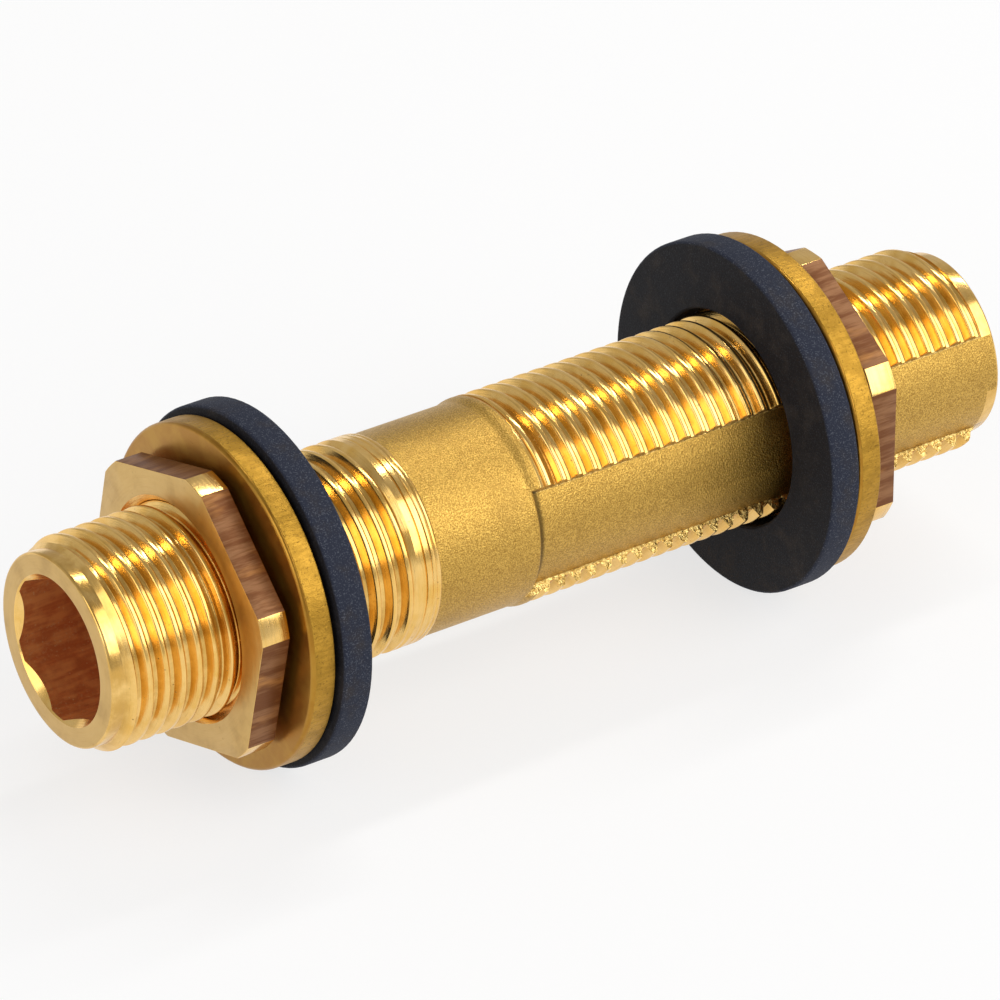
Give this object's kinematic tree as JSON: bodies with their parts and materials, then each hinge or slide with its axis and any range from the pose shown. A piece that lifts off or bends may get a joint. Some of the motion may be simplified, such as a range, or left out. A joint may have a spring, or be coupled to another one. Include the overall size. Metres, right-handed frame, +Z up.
{
  "type": "wall plate fitting",
  "caption": "Brass through-wall pipe fitting: threaded body with hexagon key socket and relieved sides, clamped by back nuts, flat washers and rubber seals.",
  "frame": {"origin": "on the body's axis at the middle of its length, which is inside the wall when the fitting is in use", "axes": "+X along the body from the socket end to the far end, +Z up, relieved sides facing +Y and -Y"},
  "size_m": [0.1036, 0.0358, 0.0358],
  "materials": {
    "body_brass": "turned threads, as-forged plain length and sides",
    "nut_brass": "turned faces and corners, raw oxidised bar flats",
    "washer_brass": "stamped, smooth face and torn edge",
    "seal_rubber": "matt"
  },
  "bodies": {
    "body": {"fitting_body": "body_brass"},
    "near_washer": {"near_flat_washer": "washer_brass"},
    "near_nut": {"near_back_nut": "nut_brass"},
    "near_seal": {"near_rubber_seal": "seal_rubber"},
    "far_washer": {"far_flat_washer": "washer_brass"},
    "far_nut": {"far_back_nut": "nut_brass"},
    "far_seal": {"far_rubber_seal": "seal_rubber"}
  },
  "joints": [
    {"name": "near_nut_travel", "type": "slide", "parent": "body", "child": "near_washer", "axis": [1, 0, 0], "range_m": [-0.011, 0.0165]},
    {"name": "near_nut_turn", "type": "hinge", "parent": "near_washer", "child": "near_nut", "pos_m": [-0.03705, 0, 0], "axis": [1, 0, 0], "range_deg": [-2160, 3240]},
    {"name": "near_seal_slide", "type": "slide", "parent": "near_washer", "child": "near_seal", "axis": [1, 0, 0], "range_m": [0, 0.004]},
    {"name": "far_nut_travel", "type": "slide", "parent": "body", "child": "far_washer", "axis": [1, 0, 0], "range_m": [-0.0283, 0.0147]},
    {"name": "far_nut_turn", "type": "hinge", "parent": "far_washer", "child": "far_nut", "pos_m": [0.03405, 0, 0], "axis": [1, 0, 0], "range_deg": [-5580, 2880]},
    {"name": "far_seal_slide", "type": "slide", "parent": "far_washer", "child": "far_seal", "axis": [-1, 0, 0], "range_m": [0, 0.004]}
  ],
  "couplings": [
    {"joint": "near_nut_travel", "follows": "near_nut_turn", "m_per_rad": 0.00028871},
    {"joint": "far_nut_travel", "follows": "far_nut_turn", "m_per_rad": 0.00028871}
  ]
}
